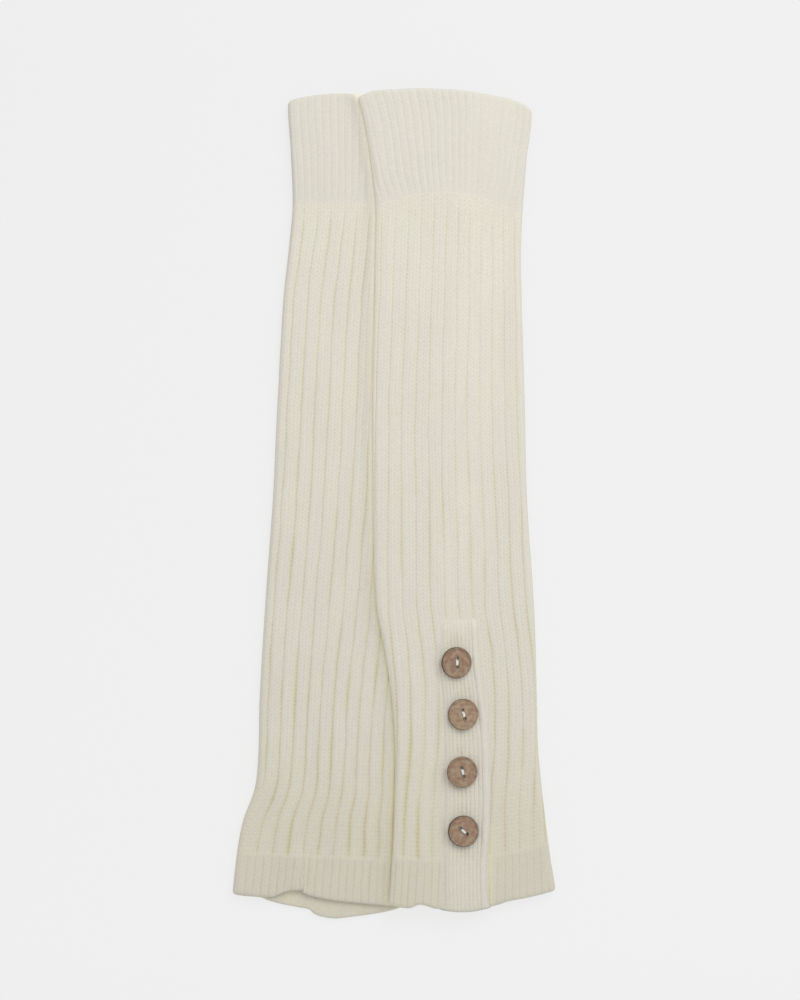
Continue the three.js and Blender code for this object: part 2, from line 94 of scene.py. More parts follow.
rightWarmer = {
    "name": "right",
    "top": 199.2,
    "down": [0, 8, 25, 53, 75, 98, 148, 198, 248, 273, 298, 323, 348, 373, 396],
    "left": [-18.0, -15.6, -12.4, -9.0, -9.3, -9.5, -10.5, -10.3, -9.0, -4.6, -1.0, 0.6, 0, -1.0,
             -2.6],
    "right": [69.0, 68.6, 66.5, 64.4, 63.6, 64.0, 65.5, 66.7, 70.0, 71.0, 71.6, 72.2, 74.6, 77.4,
              81.0],
    "tilt": [-7.0, -6.5, -5.0, -3.0, -1.2, 0, 0, 0, 0, 0, 0, 1.0, 3.0, 5.8, 7.0],
    "arch": [8.3, 8.4, 8.6, 8.6, 6.0, 3.6, 0, 0, 0, 0, 0, -1.0, -2.6, -4.6, -7.6],
    "ribDown": [53, 148, 243, 348, 396],
    "ribFirst": [4.7, 2.7, 0.3, -6.6, -7.4],
    "ribLast": [70.2, 73.2, 76.2, 71.4, 74.4],
    "ribBow": [2.3, 1.0, 1.0, -0.5, -0.5],
    "gutterTone": (0.15, 0.41),
    "ankleTone": 1.5,
    "gutterDepth": 0.6,
    "lostRib": None,
    "cuffFan": (0.06, 0.14),
    "cuffEnd": 53,
    "hemStart": 373,
    "swells": [(33, -196, 15, 22, 1.3), (62, -150, 12, 60, 0.6), (30, 60, 20, 90, 0.5)],
    "frontDrop": [(0, 0), (0.12, -0.6), (0.19, -3.4), (0.26, -2.4), (0.34, -1.2), (0.46, -0.2),
                  (0.56, -0.5), (0.7, -2.0), (0.85, -0.9), (1, 0.6)],
    "backDrop": [(0, 0.3), (0.08, 0), (0.14, -2.2), (0.19, -2.8), (0.235, -2.3), (0.28, -1.4),
                 (0.47, -1.2), (0.56, -0.7), (0.66, -0.9), (0.72, -1.5), (0.8, -0.9), (0.86, -0.3),
                 (0.92, 0.2), (1, 0.8)],
    "topDip": [(0, 0.9), (0.03, 0.6), (0.08, 0), (0.13, 0.4), (0.17, 0.7), (0.22, 1.3), (0.31, 1.6),
               (0.4, 1.8), (0.5, 1.9), (0.6, 1.3), (0.68, 1.0), (0.77, 0.1), (0.82, -0.5), (0.86, -1.3),
               (0.92, -1.6), (0.96, -1.3), (1, -0.2)],
    "topRise": 0.7,
    "lumpSeed": 7.0,
    "wanderSeed": 80,
}

# the left hem laps over itself in a tuck: the cloth left of it stands on the cloth right of it
tuck = {"at": -45.4, "start": -169, "full": -180, "rise": 1.1, "width": 15, "lap": 0.7,
        "corner": 2.6, "cornerWidth": 4, "cornerHeight": 12}

# the right warmer comes down past the left one's side between these distances from it
slope = {"start": 1, "end": 32}

# where the wander of the edges dies out: above the hem's edge, and below the cuff's
fade = {"front": 24, "back": 90, "top": 40, "rise": 30}

# soft lumps that hand-laid knit keeps, and where they die out beside the button band
lumps = {"wide": 26, "long": 60, "tall": 0.35, "left": (10, 18), "right": (60, 52), "top": (-40, -55)}

# how the ribs stray: how slowly along the leg, and how much of it is finer
wander = {"along": 26, "fine": 0.4, "fineScale": 3.1}


def mix(a, b, t):
    return a + (b - a) * t


def smoothStep(low, high, x):
    t = min(1, max(0, (x - low) / (high - low)))
    return t * t * (3 - 2 * t)


def curve(xs, ys):
    # a smooth curve through the values, with the slope at each taken from its neighbours
    last = len(xs) - 1
    tangents = []
    for i in range(last + 1):
        a, b = max(0, i - 1), min(last, i + 1)
        tangents.append((ys[b] - ys[a]) / (xs[b] - xs[a]))

    def at(x):
        i = 0
        while i < last - 1 and x > xs[i + 1]:
            i += 1
        width = xs[i + 1] - xs[i]
        t = min(1, max(0, (x - xs[i]) / width))
        return ((2 * t ** 3 - 3 * t ** 2 + 1) * ys[i] + (t ** 3 - 2 * t ** 2 + t) * width * tangents[i]
                + (3 * t ** 2 - 2 * t ** 3) * ys[i + 1] + (t ** 3 - t ** 2) * width * tangents[i + 1])
    return at


for warmer in (leftWarmer, rightWarmer):
    for key in ("left", "right", "tilt", "arch"):
        warmer[key + "At"] = curve(warmer["down"], warmer[key])
    for key in ("ribFirst", "ribLast", "ribBow"):
        warmer[key + "At"] = curve(warmer["ribDown"], warmer[key])
    for key in ("frontDrop", "backDrop", "topDip"):
        warmer[key + "At"] = curve(*zip(*warmer[key]))
    warmer["length"] = warmer["down"][-1]


def swellAt(warmer, x, y):
    return sum(h * math.exp(-((x - cx) / rx) ** 2 - ((y - cy) / ry) ** 2)
               for cx, cy, rx, ry, h in warmer["swells"])


def unevenAt(warmer, x, y):
    spot = Vector((x / lumps["wide"], y / lumps["long"], warmer["lumpSeed"]))
    free = 1
    if warmer is rightWarmer:
        free -= (smoothStep(*lumps["left"], x) * smoothStep(*lumps["right"], x)
                 * smoothStep(*lumps["top"], y))
    return lumps["tall"] * free * noise.noise(spot)


def groundAt(warmer, x, y):
    if warmer is leftWarmer:
        return 0
    side = leftWarmer["rightAt"](leftWarmer["top"] - y)
    over = 2 * half + cloth["lay"] + swellAt(leftWarmer, x, y)
    return over * (1 - smoothStep(side + slope["start"], side + slope["end"], x))


def tuckAt(warmer, x, y):
    # how far the lapping cloth stands up, and how far it leans over its fold
    if warmer is rightWarmer or x >= tuck["at"]:
        return 0, 0
    full = 1 - smoothStep(tuck["full"], tuck["start"], y)
    edge = smoothStep(tuck["at"] - 1.6, tuck["at"], x)
    rise = tuck["rise"] * full * smoothStep(tuck["at"] - tuck["width"], tuck["at"] - 1, x)
    return rise * (1 - 0.3 * edge), tuck["lap"] * full * smoothStep(tuck["at"] - 6, tuck["at"], x)


# the button band: fine ribs, a smooth selvedge rib on its free side, and a thin sewn side
band = {
    "y": [-55.4, -80, -106, -135, -165, -184, -206],
    "left": [20.5, 21.2, 22.6, 23.4, 23.4, 23.2, 23.4],
    "right": [42.3, 43.8, 47.0, 48.8, 48.6, 47.2, 48.2],
    "thickness": 2.2,
    "lie": 0.2,          # how far it lies off the leg
    "sunk": 1.1,         # how deep its sewn sides are taken into the leg's knit
    "ribs": 10,
    "ribDepth": 0.22,
    "ribSpread": 0.2,
    "selvedge": 0.18,    # the selvedge rib's share of the width
    "step": 0.9,
    "phases": [0, 0.12, 0.25, 0.38, 0.5, 0.62, 0.75, 0.88],
    "flat": (25, 151),   # its cut: width and length
    "edge": 0.35,        # how thick it is at its ends and its sewn side, as a share
    "turned": 0.97,      # past this share of the width, the free side turns down on to the leg
    "turnedTo": -1.0,
    "endRound": 1.3,     # how far the end at the hem rounds over
    "tone": (0.14, 0.6), # how strongly the painted shade in its gutters shows, and how much more where they open
    "pale": 0.28,
}
bandDown = [-y for y in band["y"]]
bandLeftAt, bandRightAt = curve(bandDown, band["left"]), curve(bandDown, band["right"])


def sideAt(y):
    # where the right warmer's left side is
    down = rightWarmer["top"] - y
    return rightWarmer["leftAt"](down - rightWarmer["tiltAt"](down) / 2)


# the left warmer's front swells up against the side of the right one that lies on it: how tall
# at the cuff and the ankle, how much of that is left by the hem, and how far it reaches
bulge = {"tall": (2.4, 1.1), "lower": (60, -100), "hem": 0.4, "hemBy": (-150, -178), "reach": 4.5,
         "under": (2, 5), "clear": 0.3}


def besideAt(warmer, x, y):
    if warmer is rightWarmer:
        return 0
    away = x - sideAt(y)
    tall = mix(*bulge["tall"], smoothStep(*bulge["lower"], y))
    tall *= mix(1, bulge["hem"], smoothStep(*bulge["hemBy"], y))
    if away < 0:
        return tall * math.exp(-(away / bulge["reach"]) ** 2)
    room = half - math.sqrt(half ** 2 - max(0, half - away) ** 2) + bulge["clear"]
    return min(tall, room) * (1 - smoothStep(*bulge["under"], away))


def perimeter(warmer, down):
    width = warmer["rightAt"](down) - warmer["leftAt"](down)
    return 2 * (width - 2 * half) + 2 * math.pi * half


def aroundTube(width, way):
    # where a way round the flat tube ends, from its left side over the front: the place across
    # its flat stretch and the direction that the wall faces
    flat = width - 2 * half
    turn = math.pi * half
    way = way % (2 * flat + 2 * turn)
    if way < turn / 2:
        return 0, -math.cos(way / half), math.sin(way / half)
    way -= turn / 2
    if way < flat:
        return way, 0, 1
    way -= flat
    if way < turn:
        return flat, math.sin(way / half), math.cos(way / half)
    way -= turn
    if way < flat:
        return flat - way, 0, -1
    way -= flat
    return 0, -math.sin(way / half), -math.cos(way / half)


def wayRound(warmer, share, down):
    # a share of the way round in ribs becomes a distance: the twelve front ribs keep their own
    # spacing, and fan out with the cuff above the leg
    at = max(down, warmer["cuffEnd"])
    total = perimeter(warmer, at)
    first, last = warmer["ribFirstAt"](at), warmer["ribLastAt"](at)
    fan = mix(*reversed(warmer["cuffFan"]), down / warmer["cuffEnd"])
    fan *= (last - first) / 2 * smoothStep(0, 12, warmer["cuffEnd"] - down)
    first, last = first - fan, last + fan
    front = 11 / 24
    if share <= front:
        t = share / front
        way = mix(first, last, t) + warmer["ribBowAt"](at) * 4 * t * (1 - t)
    else:
        way = mix(last, first + total, (share - front) / (1 - front))
    return way * perimeter(warmer, down) / total


def wallPoint(warmer, way, down, out, outer):
    left, right = warmer["leftAt"](down), warmer["rightAt"](down)
    across, nx, nz = aroundTube(right - left, way)
    x = left + half + across + nx * out
    u = min(1, max(0, (x - left) / (right - left)))
    front = (nz + 1) / 2
    length = warmer["length"]
    frontDrop = smoothStep(length - fade["front"], length, down) * warmer["frontDropAt"](u)
    backDrop = smoothStep(length - fade["back"], length, down) * warmer["backDropAt"](u)
    rise = warmer["topRise"] * (1 - front) * (1 - smoothStep(0, fade["rise"], down))
    rise -= warmer["topDipAt"](u) * (1 - smoothStep(0, fade["top"], down))
    shape = warmer["tiltAt"](down) * (u - 0.5) + warmer["archAt"](down) * (1 - (2 * u - 1) ** 2)
    y = warmer["top"] - down + shape - mix(backDrop, frontDrop, front) + rise
    stand, lean = tuckAt(warmer, x, y)
    if stand:   # the lapping cloth's lower corner is rounded
        near = smoothStep(tuck["at"] - tuck["cornerWidth"], tuck["at"], x) ** 1.5
        y += tuck["corner"] * front * outer * near * smoothStep(length - tuck["cornerHeight"], length, down)
    lift = swellAt(warmer, x, y) + (unevenAt(warmer, x, y) + stand + besideAt(warmer, x, y)) * outer
    z = half + nz * out + groundAt(warmer, x, y) + max(0, nz) * lift
    return Vector((x + lean * outer * max(0, nz), y, z))


# ribs all round each stretch; how deep a gutter is and how far it spreads, as a share of a rib;
# stitch columns in a rib; how long a gutter takes to die out at a seam; how far a gutter's painted
# shade spreads; points across a rib
ribs = {
    "leg": {"round": 24, "depth": 0.34, "spread": 0.075, "wales": 2, "waleDepth": 0.08, "waleSpread": 0.08,
            "crown": 0.12, "step": 1.6, "die": (14, 2.5), "tone": 1.0, "stray": 1.4, "halo": 0.2,
            "phases": [0, 0.025, 0.055, 0.1, 0.18, 0.27, 0.36, 0.44, 0.5, 0.56, 0.64, 0.73, 0.82, 0.9,
                       0.945, 0.975]},
    "cuff": {"round": 48, "depth": 0.12, "spread": 0.17, "wales": 1, "waleDepth": 0, "waleSpread": 1,
             "crown": 0.08, "step": 1.5, "die": (4, 4), "tone": 0.19, "stray": 1.4, "halo": 0.17,
             "phases": [0, 0.12, 0.25, 0.38, 0.5, 0.62, 0.75, 0.88]},
    "hem": {"round": 48, "depth": 0.32, "spread": 0.12, "wales": 1, "waleDepth": 0, "waleSpread": 1,
            "crown": 0.08, "step": 1.2, "die": (3, 3), "tone": 0.42, "stray": 1.4, "halo": 0.12,
            "phases": [0, 0.08, 0.18, 0.34, 0.5, 0.66, 0.82, 0.92]},
}


def reliefAt(rib, phase):
    # how far the surface is below a rib's crest, and how much of a gutter's painted shade it has
    away = min(phase, 1 - phase)
    gutter = math.exp(-(away / rib["spread"]) ** 2)
    wale = math.exp(-((phase - 0.5) / rib["waleSpread"]) ** 2)
    recess = rib["depth"] * gutter + rib["waleDepth"] * wale
    halo = math.exp(-(away / rib["halo"]) ** 2)
    return recess + rib["crown"] * (2 * phase - 1) ** 2, 0.5 * gutter + 0.5 * halo


def wanderAt(warmer, share, down, reach):
    # ribs stray a little from their line, and their gutters open and close
    turn = 2 * math.pi * share
    spot = Vector((reach * math.cos(turn), reach * math.sin(turn), down / wander["along"]))
    spot.z += warmer["wanderSeed"]
    return noise.noise(spot) + wander["fine"] * noise.noise(spot * wander["fineScale"])


def wallRows(start, end, step, startRim, endRim):
    # one way round the wall's own section: down the outside, round the lower rim, up the inside
    # and round the upper rim. Each row has its distance down and its share from inside to outside
    rows = []
    rimSteps = cloth["rimSteps"]
    count = max(4, round((end - start - startRim - endRim) / step))
    for i in range(count + 1):
        rows.append((mix(start + startRim, end - endRim, i / count), 1))
    for i in range(1, rimSteps):
        turn = math.pi * i / rimSteps
        rows.append((end - endRim + endRim * math.sin(turn), 0.5 + 0.5 * math.cos(turn)))
    insideCount = max(3, round((end - start) / cloth["insideStep"]))
    for i in range(insideCount + 1):
        rows.append((mix(end - endRim, start + startRim, i / insideCount), 0))
    for i in range(1, rimSteps):
        turn = math.pi * i / rimSteps
        rows.append((start + startRim - startRim * math.sin(turn), 0.5 - 0.5 * math.cos(turn)))
    return rows


def finish(bm, name, material, sharp=None):
    # makes a piece of a bmesh in millimetres: edges that turn more than sharp are crisp
    for vert in bm.verts:
        vert.co *= mm
    bmesh.ops.remove_doubles(bm, verts=bm.verts[:], dist=2e-6)
    bmesh.ops.recalc_face_normals(bm, faces=bm.faces[:])
    for face in bm.faces:
        face.smooth = True
    if sharp:
        for edge in bm.edges:
            edge.smooth = edge.calc_face_angle(0) < sharp
    mesh = bpy.data.meshes.new(name)
    bm.to_mesh(mesh)
    bm.free()
    mesh.materials.append(material)
    piece = bpy.data.objects.new(name, mesh)
    bpy.context.scene.collection.objects.link(piece)
    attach(piece, "root")
    return piece


# how the gutters change along and round a warmer
gutters = {
    "lower": (90, 310),         # where they turn from the cuff's tone and depth to the ankle's
    "shallow": 0.12,            # what is left of a rib's depth where it dies out
    "upper": 0.75,              # their depth at the cuff
    "hem": 0.8,                 # their depth on the hem
    "depthStray": (0.5, 6),     # how much their depth strays, and how quickly round the tube
    "placeStray": (0.6, 3.2),
    "ankle": (290, 350),        # where the strong ones left and right of the band get stronger
    "leftOfBand": (0.22, 0.12),
    "rightOfBand": (0.315, 0.035),
    "faintest": 0.35,
}

# the leg is a little darker just below its cuff, and darker towards the hem as painted shade for the light
# falling off towards the ankle: by how much, and over which stretch
legDarkening = {"cuff": 0.08, "cuffReach": (28, 2), "hem": 0.22, "hemReach": (300, 365)}

# where the warmers meet, painted shade and painted light: a yellow tint painted for the crease's shade and
# bounce, and a painted glow standing in for light through the wool; how much of each there is, and how far
# each reaches
paintedShadeAndGlow = {
    "lower": (60, -120),
    "leftShade": (0.25, 0.6),
    "leftGlow": (0.1, 0.03),
    "leftReach": 2,
    "rightGlow": (0.14, 0.06),
    "rightReach": 1.4,
    # painted shade on the hem just past the button band
    "band": 0.34,
    "bandBy": (-155, -185),
    "bandGap": 0.8,
    "bandReach": 1.2,
    # painted shade under the tuck that laps over the left hem
    "tuck": 0.2,
    "tuckGap": 1.4,
    "tuckReach": 1.3,
    # painted shade and a faint painted glow inside, where the cloth is only seen past the hem's front edge,
    # and most at its tuck
    "inside": 0.05,
    "insideTuck": 0.3,
    "insideGap": 6,
    "insideReach": 3.5,
    "insideGlow": 0.012,
    "insideBy": (-16, -4),
}


# the painted shade, a yellow tint, and the painted glow at a place on a warmer
def throughWool(warmer, place):
    away = place.x - sideAt(place.y)
    low = smoothStep(*paintedShadeAndGlow["lower"], place.y)
    if warmer is rightWarmer:
        beside = place.x - bandRightAt(-place.y) - paintedShadeAndGlow["bandGap"]
        paintedShade = paintedShadeAndGlow["band"] * smoothStep(*paintedShadeAndGlow["bandBy"], place.y)
        paintedShade *= math.exp(-(beside / paintedShadeAndGlow["bandReach"]) ** 2)
        return paintedShade, mix(*paintedShadeAndGlow["rightGlow"], low) * math.exp(-(away / paintedShadeAndGlow["rightReach"]) ** 2)
    near = math.exp(-(min(0, away) / paintedShadeAndGlow["leftReach"]) ** 2)
    below = 1 - smoothStep(tuck["full"], tuck["start"], place.y)
    past = place.x - tuck["at"] - paintedShadeAndGlow["tuckGap"]
    lapped = paintedShadeAndGlow["tuck"] * below * math.exp(-(past / paintedShadeAndGlow["tuckReach"]) ** 2)
    return max(mix(*paintedShadeAndGlow["leftShade"], low) * near, lapped), mix(*paintedShadeAndGlow["leftGlow"], low) * near


def knitTube(name, warmer, kind, start, end, rims, material):
    rib = ribs[kind]
    phases = rib["phases"]
    columns = rib["round"] * len(phases)
    rows = wallRows(start, end, rib["step"], *rims)
    toneTop, toneLow = warmer["gutterTone"]
    bm = bmesh.new()
    bmesh.ops.create_grid(bm, x_segments=columns, y_segments=len(rows), size=1)
    uv = bm.loops.layers.uv.new("knit")
    gutterShadeLayer = bm.verts.layers.float.new("gutter")
    paintedShadeLayer = bm.verts.layers.float.new("paintedShade")
    paintedGlowLayer = bm.verts.layers.float.new("glow")
    paleLayer = bm.verts.layers.float.new("pale")
    # a seam's outer rows stay crisp, so that the cloth runs on over it
    outerEnd = next(i for i, (down, layer) in enumerate(rows) if layer < 1) - 1
    crisp = {row for row, rim in ((0, rims[0]), (outerEnd, rims[1])) if rim == cloth["seamRim"]}
    for edge in bm.edges:
        edge.smooth = not {round((v.co.y + 1) / 2 * len(rows)) % len(rows) for v in edge.verts} <= crisp
    for vert in bm.verts:
        column = round((vert.co.x + 1) / 2 * columns)
        row = round((vert.co.y + 1) / 2 * len(rows)) % len(rows)
        phase = phases[column % len(phases)]
        share = (column // len(phases) + phase) / rib["round"]
        for loop in vert.link_loops:
            loop[uv].uv = (share * rib["round"] * rib["wales"], rows[row][0] / cloth["course"])
        down, layer = rows[row]
        share %= 1
        # gutters die out softly where a tube is joined to the next one
        shown = smoothStep(0, rib["die"][0], down - start) if rims[0] == cloth["seamRim"] else 1
        shown *= smoothStep(0, rib["die"][1], end - down) if rims[1] == cloth["seamRim"] else 1
        if warmer["lostRib"] and abs(share * ribs["leg"]["round"] - 1) < 0.5:
            shown *= 1 - smoothStep(*warmer["lostRib"], down)
        recess, gutter = reliefAt(rib, phase)
        low = smoothStep(*gutters["lower"], down)
        stray, reach = gutters["depthStray"]
        strayDepth = stray * wanderAt(warmer, share, down, reach)
        depth = mix(gutters["shallow"], 1, shown) * (1 + strayDepth) * recess
        if kind != "cuff":
            depth *= mix(gutters["upper"], 1, low) * warmer["gutterDepth"]
            depth *= gutters["hem"] if kind == "hem" else 1
        stray, reach = gutters["placeStray"]
        way = wayRound(warmer, share, down) + stray * wanderAt(warmer, share, down, reach)
        vert.co = wallPoint(warmer, way, down, mix(cloth["hollow"] / 2, half - depth, layer), layer)
        tone = rib["tone"] * shown * mix(toneTop, toneLow, low)
        middle, spread = gutters["rightOfBand"]
        strong = max(smoothStep(*gutters["leftOfBand"], share), math.exp(-((share - middle) / spread) ** 2))
        tone *= 1 + warmer["ankleTone"] * smoothStep(*gutters["ankle"], down) * strong
        strayTone = rib["stray"] * wanderAt(warmer, share, down, rib["round"] / 5)
        tone *= max(gutters["faintest"], 1 + strayTone)
        # the leg's darkening below its cuff and its painted shade towards the hem, added to the gutters'
        # painted shade
        darker = 0
        if kind == "leg":
            darker = (legDarkening["cuff"] * smoothStep(*legDarkening["cuffReach"], down - start)
                      + legDarkening["hem"] * smoothStep(*legDarkening["hemReach"], down))
        # painted shade in the gutters, with the leg's darkening
        vert[gutterShadeLayer] = min(1, gutter * tone + darker) * layer
        # painted shade and painted glow where the warmers meet, beside the band, under the tuck and inside
        # past the hem
        paintedShade, glow = throughWool(warmer, vert.co)
        inside = (vert.co.x - tuck["at"] + paintedShadeAndGlow["insideGap"]) / paintedShadeAndGlow["insideReach"]
        within = paintedShadeAndGlow["inside"] + paintedShadeAndGlow["insideTuck"] * math.exp(-inside ** 2)
        vert[paintedShadeLayer] = mix(within, paintedShade, smoothStep(0, 0.3, layer))
        insideGlow = paintedShadeAndGlow["insideGlow"] * smoothStep(*paintedShadeAndGlow["insideBy"], down - warmer["length"])
        vert[paintedGlowLayer] = mix(insideGlow, glow, layer)
        # painted sheen: the rounded rims are paler and greyer
        vert[paleLayer] = 0.35 * math.sin(math.pi * layer)
    return finish(bm, name, material)


def node(tree, kind, values=None, **links):
    made = tree.nodes.new(kind)
    for key, value in (values or {}).items():
        setattr(made, key, value)
    for key, source in links.items():
        socket = made.inputs[int(key[1:])] if key[1:].isdigit() else made.inputs[key.replace("_", " ")]
        if isinstance(source, (int, float, tuple)):
            socket.default_value = source
        else:
            tree.links.new(source, socket)
    return made


def calc(tree, operation, *sources):
    links = {"i" + str(i): source for i, source in enumerate(sources)}
    return node(tree, "ShaderNodeMath", {"operation": operation}, **links).outputs[0]


def blend(tree, share, first, second):
    return node(tree, "ShaderNodeMix", {"data_type": "RGBA"}, i0=share, i6=first, i7=second).outputs[2]


def newGroup(name, inputs, outputs):
    tree = bpy.data.node_groups.new(name, "ShaderNodeTree")
    for label, kind in inputs:
        tree.interface.new_socket(label, in_out="INPUT", socket_type="NodeSocket" + kind)
    for label, kind in outputs:
        tree.interface.new_socket(label, in_out="OUTPUT", socket_type="NodeSocket" + kind)
    return tree, tree.nodes.new("NodeGroupInput").outputs, tree.nodes.new("NodeGroupOutput").inputs


def buildStitchGroup():
    # knit stitches on a UV map in stitch columns and rows: each stitch is two slanted ovals
    # that meet in a V, with its yarn's own twist
    tree, given, made = newGroup("knitStitch", [("Place", "Vector"), ("Slant", "Float")],
                                 [("Height", "Float"), ("GapShade", "Float"), ("Row", "Float")])
    wobble = node(tree, "ShaderNodeTexNoise", {"noise_dimensions": "2D"}, Vector=given["Place"],
                  Scale=0.9, Detail=1.0).outputs["Fac"]
    split = node(tree, "ShaderNodeSeparateXYZ", None, Vector=given["Place"])
    shift = calc(tree, "MULTIPLY", calc(tree, "SUBTRACT", wobble, 0.5), 0.5)
    across = calc(tree, "ABSOLUTE", calc(tree, "SUBTRACT", calc(tree, "FRACT", split.outputs["X"]), 0.5))
    side = calc(tree, "DIVIDE", calc(tree, "SUBTRACT", across, 0.24), 0.36)
    roundness = calc(tree, "SUBTRACT", 1.0, calc(tree, "MULTIPLY", side, side))
    climb = calc(tree, "MULTIPLY_ADD", across, given["Slant"], split.outputs["Y"])
    along = calc(tree, "FRACT", calc(tree, "ADD", climb, shift))
    hump = calc(tree, "SINE", calc(tree, "MULTIPLY", along, math.pi))
    # the yarn lies smoothly over its stitch, and the gap between two stitches is narrow
    yarn = calc(tree, "MULTIPLY", roundness, calc(tree, "MULTIPLY_ADD", hump, 0.55, 0.45))
    tall = calc(tree, "POWER", calc(tree, "MAXIMUM", yarn, 0.0), 0.6)
    twist = calc(tree, "SINE", calc(tree, "MULTIPLY_ADD", along, 19.0, calc(tree, "MULTIPLY", across, 26.0)))
    tree.links.new(calc(tree, "MULTIPLY_ADD", twist, 0.05, tall), made["Height"])
    tree.links.new(calc(tree, "SUBTRACT", 1.0, tall), made["GapShade"])
    tree.links.new(calc(tree, "ADD", split.outputs["Y"], shift), made["Row"])
    return tree


def buildFuzzGroup():
    # loose fibres over the yarn: fine hairs and specks, and wide faint blotches
    tree, given, made = newGroup("woolFuzz", [("Place", "Vector")],
                                 [("Height", "Float"), ("Blotch", "Float"), ("Speck", "Float")])
    fine = node(tree, "ShaderNodeTexNoise", None, Vector=given["Place"], Scale=1300.0, Detail=3.0,
                Roughness=0.7)
    wide = node(tree, "ShaderNodeTexNoise", None, Vector=given["Place"], Scale=45.0, Detail=2.0)
    speck = node(tree, "ShaderNodeTexNoise", None, Vector=given["Place"], Scale=520.0, Detail=2.0)
    tree.links.new(fine.outputs["Fac"], made["Height"])
    tree.links.new(wide.outputs["Fac"], made["Blotch"])
    tree.links.new(speck.outputs["Fac"], made["Speck"])
    return tree


stitchGroup = buildStitchGroup()
fuzzGroup = buildFuzzGroup()


# painted shade between the stitches: the wool is shown darker there
stitchGapShade = (0.50, 0.46, 0.36, 1)


def knitMaterial(name, base, gutter, stitchDepth, slant, gapShadeShare=0.5):
    material = bpy.data.materials.new(name)
    material.use_nodes = True
    tree = material.node_tree
    shader = tree.nodes["Principled BSDF"].inputs
    uv = node(tree, "ShaderNodeUVMap", {"uv_map": "knit"}).outputs["UV"]
    place = node(tree, "ShaderNodeTexCoord").outputs["Object"]
    stitch = node(tree, "ShaderNodeGroup", {"node_tree": stitchGroup}, Place=uv, Slant=slant).outputs
    fuzz = node(tree, "ShaderNodeGroup", {"node_tree": fuzzGroup}, Place=place).outputs
    gutterShadeMask = node(tree, "ShaderNodeAttribute", {"attribute_name": "gutter"}).outputs["Fac"]
    paintedShadeMask = node(tree, "ShaderNodeAttribute", {"attribute_name": "paintedShade"}).outputs["Fac"]
    # undyed wool: each stitch column is a little pinker or greener for some way
    drawn = node(tree, "ShaderNodeMapping", None, Vector=uv, Scale=(0.75, 0.045, 1.0)).outputs[0]
    streak = node(tree, "ShaderNodeTexNoise", {"noise_dimensions": "2D"}, Vector=drawn, Scale=1.0,
                  Detail=1.0).outputs["Fac"]
    hue = calc(tree, "MULTIPLY_ADD", calc(tree, "SUBTRACT", streak, 0.5), 0.05, 0.5)
    # painted shade between the stitches
    gapShadeMask = calc(tree, "MULTIPLY", calc(tree, "POWER", stitch["GapShade"], 1.6), gapShadeShare)
    knit = blend(tree, gapShadeMask, base, stitchGapShade)
    # a gutter's painted shade is broken up by the bars of its own stitches
    beat = calc(tree, "SINE", calc(tree, "MULTIPLY", stitch["Row"], 2 * math.pi))
    bars = calc(tree, "MULTIPLY_ADD", beat, 0.22, 0.85)
    broken = calc(tree, "MULTIPLY", gutterShadeMask, bars)
    colour = blend(tree, calc(tree, "MINIMUM", broken, 1.0), knit, gutter)
    # painted shade: a yellow tint where the warmers meet, beside the band, under the tuck and inside
    colour = blend(tree, calc(tree, "MINIMUM", paintedShadeMask, 1.0), colour, (0.80, 0.745, 0.49, 1))
    # paler and greyer where the pale mask is: the tubes' rounded rims, as painted sheen, and the band's
    # selvedge rib
    pale = node(tree, "ShaderNodeAttribute", {"attribute_name": "pale"}).outputs["Fac"]
    colour = blend(tree, pale, colour, (0.72, 0.71, 0.65, 1))
    tone = calc(tree, "ADD", calc(tree, "MULTIPLY", fuzz["Blotch"], 0.05),
                calc(tree, "MULTIPLY_ADD", fuzz["Speck"], 0.1, 0.925))
    toned = node(tree, "ShaderNodeHueSaturation", None, Hue=hue, Value=tone, Color=colour)
    tree.links.new(toned.outputs[0], shader["Base Color"])
    # painted glow: the cloth emits a little light where the warmers meet and inside past the hem, though it
    # is no lamp
    glow = node(tree, "ShaderNodeAttribute", {"attribute_name": "glow"}).outputs["Fac"]
    tree.links.new(blend(tree, glow, (0, 0, 0, 1), (1, 0.94, 0.8, 1)), shader["Emission Color"])
    shader["Emission Strength"].default_value = 1
    flatness = calc(tree, "SUBTRACT", 1.0, calc(tree, "MINIMUM", gutterShadeMask, 1.0))
    raised = calc(tree, "MULTIPLY", stitch["Height"], flatness)
    height = calc(tree, "MULTIPLY_ADD", fuzz["Height"], 0.5, raised)
    bump = node(tree, "ShaderNodeBump", None, Height=height, Strength=1.0, Distance=stitchDepth * mm)
    tree.links.new(bump.outputs[0], shader["Normal"])
    shader["Roughness"].default_value = 0.92
    shader["Specular IOR Level"].default_value = 0.2
    shader["Sheen Weight"].default_value = 0.15
    shader["Sheen Roughness"].default_value = 0.6
    shader["Sheen Tint"].default_value = (1.0, 0.99, 0.96, 1)
    return material


# one undyed yarn in four copies with their own base colours: the leg's and band's are painted lighter, to
# make up for the shade of their deeper stitches
legKnit = knitMaterial("legKnit", base=(0.70, 0.668, 0.585, 1), gutter=(0.565, 0.515, 0.315, 1),
                       stitchDepth=0.27, slant=1.6, gapShadeShare=0.65)
cuffKnit = knitMaterial("cuffKnit", base=(0.655, 0.625, 0.553, 1), gutter=(0.54, 0.51, 0.43, 1),
                        stitchDepth=0.15, slant=1.8)
hemKnit = knitMaterial("hemKnit", base=(0.642, 0.61, 0.508, 1), gutter=(0.54, 0.49, 0.35, 1),
                       stitchDepth=0.18, slant=1.8, gapShadeShare=0.6)
bandKnit = knitMaterial("bandKnit", base=(0.70, 0.67, 0.583, 1), gutter=(0.54, 0.49, 0.30, 1),
                        stitchDepth=0.22, slant=1.8, gapShadeShare=0.65)
print("knit materials made")

